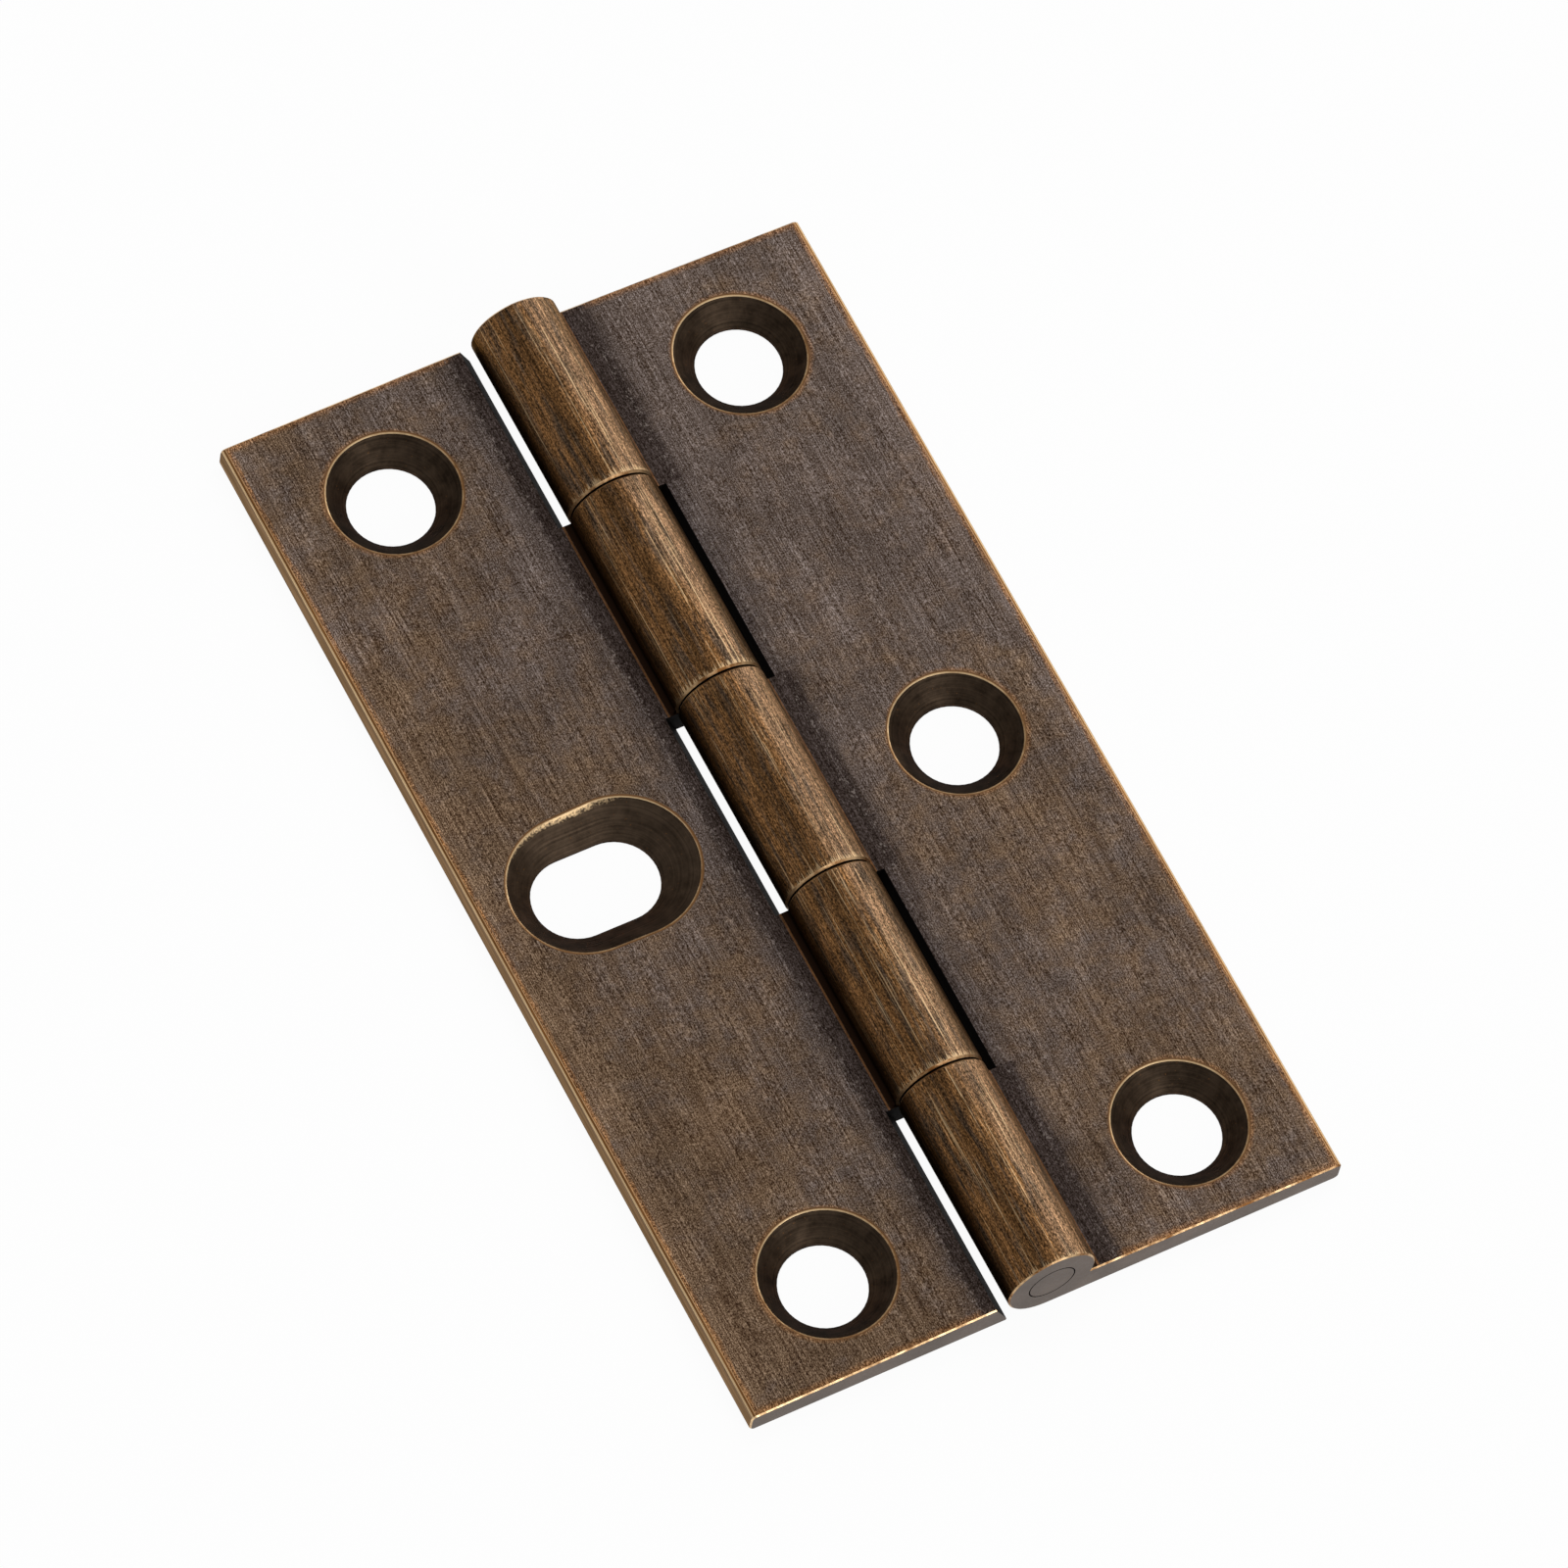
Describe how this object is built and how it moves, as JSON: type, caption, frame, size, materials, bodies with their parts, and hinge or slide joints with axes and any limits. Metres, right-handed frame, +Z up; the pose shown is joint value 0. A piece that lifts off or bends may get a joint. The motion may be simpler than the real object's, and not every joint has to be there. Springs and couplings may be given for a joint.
{
  "type": "butt hinge",
  "caption": "Flat butt hinge with a round barrel, countersunk screw holes, and a slotted hole that lets one leaf be set over.",
  "frame": {"origin": "on the plane of the leaves' backs, under the middle of the open hinge", "axes": "+Z up out of the leaves' faces, on the barrel's side; +Y along the pin; +X towards the three-knuckle leaf"},
  "size_m": [0.0358, 0.064, 0.0052],
  "materials": {
    "leaf_brass": "antique brass, darkened and brushed along the pin, worn bright at its edges",
    "pin_brass": "antique brass, plain cut ends"
  },
  "bodies": {
    "fixed_leaf": {"three_knuckle_leaf": "leaf_brass", "hinge_pin": "pin_brass"},
    "swing_leaf": {"two_knuckle_leaf": "leaf_brass"}
  },
  "joints": [
    {"name": "leaf_swing", "type": "hinge", "parent": "fixed_leaf", "child": "swing_leaf", "pos_m": [0, 0, 0.0026], "axis": [0, 1, 0], "range_deg": [-85, 180]}
  ]
}
